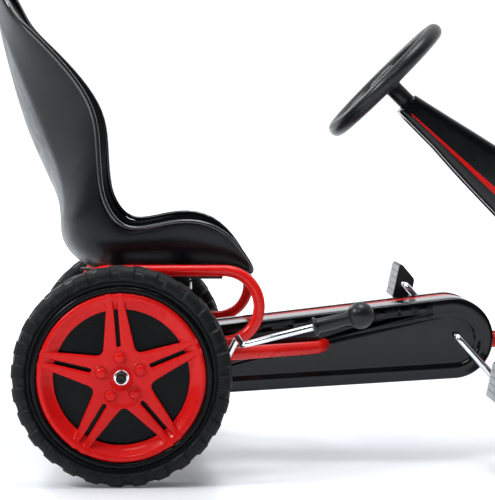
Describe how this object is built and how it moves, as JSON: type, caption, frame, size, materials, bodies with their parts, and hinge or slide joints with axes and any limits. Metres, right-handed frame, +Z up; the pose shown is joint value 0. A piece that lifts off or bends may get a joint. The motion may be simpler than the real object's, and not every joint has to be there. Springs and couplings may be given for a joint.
{
  "type": "pedal go kart",
  "caption": "Child's four-wheel pedal go kart: bucket seat on red tube loops, chain drive in a black guard, steering wheel, hand brake, spoked wheel covers.",
  "frame": {"origin": "on the ground, under the middle of the kart's length and width", "axes": "+X forwards, +Y to the rider's left, +Z up"},
  "size_m": [0.98, 0.556, 0.614],
  "materials": {
    "red_paint": "gloss powder coat",
    "black_paint": "satin powder coat",
    "black_gloss": "gloss moulded",
    "grip_rubber": "satin rubber",
    "seat_plastic": "satin blow moulded",
    "nylon": "plain",
    "zinc_steel": "zinc plated",
    "chrome": "bright plated",
    "pedal_plastic": "moulded",
    "tread_grey": "ribbed",
    "red_gloss": "gloss moulded",
    "tyre": "moulded foam rubber",
    "core_plastic": "moulded"
  },
  "bodies": {
    "frame": {"main_beam": "red_paint", "front_frame": "red_paint", "cross_member": "red_paint", "side_rail_right": "red_paint", "side_rail_left": "red_paint", "seat_loop_right": "red_paint", "seat_loop_left": "red_paint", "axle_hangers": "red_paint", "axle_bushes": "nylon", "chain": "zinc_steel", "crank_bushes": "nylon", "chain_guard_right": "black_gloss", "chain_guard_left": "black_gloss", "guard_screws": "zinc_steel", "steering_tube": "red_paint", "column_bushes": "nylon", "fairing_right": "black_gloss", "fairing_left": "black_gloss", "fairing_stripes": "red_gloss", "seat_crossbars": "black_paint", "seat_bolts": "zinc_steel"},
    "rear_axle": {"rear_axle": "zinc_steel", "rear_sprocket": "zinc_steel", "rear_axle_nuts": "chrome", "rear_right_tyre": "tyre", "rear_right_wheel_core": "core_plastic", "rear_right_wheel_cover": "red_gloss", "rear_right_cover_bolts": "red_gloss"},
    "rear_left_wheel": {"rear_left_tyre": "tyre", "rear_left_wheel_core": "core_plastic", "rear_left_wheel_cover": "red_gloss", "rear_left_cover_bolts": "red_gloss"},
    "crank": {"crank": "chrome", "chainring": "zinc_steel", "pedal_caps": "chrome"},
    "pedal_right": {"pedal_right": "pedal_plastic", "pedal_tread_right": "tread_grey"},
    "pedal_left": {"pedal_left": "pedal_plastic", "pedal_tread_left": "tread_grey"},
    "steering": {"steering_rim": "grip_rubber", "steering_hub": "black_gloss", "steering_column": "black_paint"},
    "knuckle_right": {"knuckle_right": "zinc_steel", "stub_nut_right": "chrome"},
    "knuckle_left": {"knuckle_left": "zinc_steel", "stub_nut_left": "chrome"},
    "front_right_wheel": {"front_right_tyre": "tyre", "front_right_wheel_core": "core_plastic", "front_right_wheel_cover": "red_gloss", "front_right_cover_bolts": "red_gloss"},
    "front_left_wheel": {"front_left_tyre": "tyre", "front_left_wheel_core": "core_plastic", "front_left_wheel_cover": "red_gloss", "front_left_cover_bolts": "red_gloss"},
    "track_rod": {"track_rod": "zinc_steel"},
    "brake": {"brake_lever": "chrome", "brake_grip": "grip_rubber"},
    "seat": {"seat_shell": "seat_plastic", "seat_runners": "black_paint"}
  },
  "joints": [
    {"name": "rear_axle_spin", "type": "hinge", "parent": "frame", "child": "rear_axle", "pos_m": [-0.322, 0, 0.13], "axis": [0, 1, 0], "continuous": true},
    {"name": "rear_left_wheel_spin", "type": "hinge", "parent": "rear_axle", "child": "rear_left_wheel", "pos_m": [-0.322, 0.24, 0.13], "axis": [0, 1, 0], "continuous": true},
    {"name": "crank_spin", "type": "hinge", "parent": "frame", "child": "crank", "pos_m": [0.095, 0, 0.1615], "axis": [0, 1, 0], "continuous": true},
    {"name": "pedal_right_spin", "type": "hinge", "parent": "crank", "child": "pedal_right", "pos_m": [0.14519, -0.1425, 0.10576], "axis": [0, 1, 0], "continuous": true},
    {"name": "pedal_left_spin", "type": "hinge", "parent": "crank", "child": "pedal_left", "pos_m": [0.04482, 0.1145, 0.21724], "axis": [0, 1, 0], "continuous": true},
    {"name": "steering_turn", "type": "hinge", "parent": "frame", "child": "steering", "pos_m": [0.012, 0, 0.485], "axis": [0.709, 0, -0.7053], "range_deg": [-40, 40]},
    {"name": "knuckle_right_turn", "type": "hinge", "parent": "frame", "child": "knuckle_right", "pos_m": [0.328, -0.165, 0.15], "axis": [0, 0, 1], "range_deg": [-24.8, 24.8]},
    {"name": "knuckle_left_turn", "type": "hinge", "parent": "frame", "child": "knuckle_left", "pos_m": [0.328, 0.165, 0.15], "axis": [0, 0, 1], "range_deg": [-24.8, 24.8]},
    {"name": "track_rod_turn", "type": "hinge", "parent": "knuckle_left", "child": "track_rod", "pos_m": [0.268, 0.165, 0.1786], "axis": [0, 0, 1], "range_deg": [-24.8, 24.8]},
    {"name": "front_right_wheel_spin", "type": "hinge", "parent": "knuckle_right", "child": "front_right_wheel", "pos_m": [0.328, -0.24, 0.115], "axis": [0, 1, 0], "continuous": true},
    {"name": "front_left_wheel_spin", "type": "hinge", "parent": "knuckle_left", "child": "front_left_wheel", "pos_m": [0.328, 0.24, 0.115], "axis": [0, 1, 0], "continuous": true},
    {"name": "brake_pull", "type": "hinge", "parent": "frame", "child": "brake", "pos_m": [-0.2047, 0, 0.133], "axis": [0, -1, 0], "range_deg": [0, 18]},
    {"name": "seat_slide", "type": "slide", "parent": "frame", "child": "seat", "axis": [1, 0, 0], "range_m": [0, 0.04]}
  ],
  "couplings": [
    {"joint": "crank_spin", "follows": "rear_axle_spin", "ratio": 0.625},
    {"joint": "knuckle_right_turn", "follows": "steering_turn", "ratio": -0.62},
    {"joint": "knuckle_left_turn", "follows": "steering_turn", "ratio": -0.62},
    {"joint": "track_rod_turn", "follows": "steering_turn", "ratio": 0.62}
  ]
}
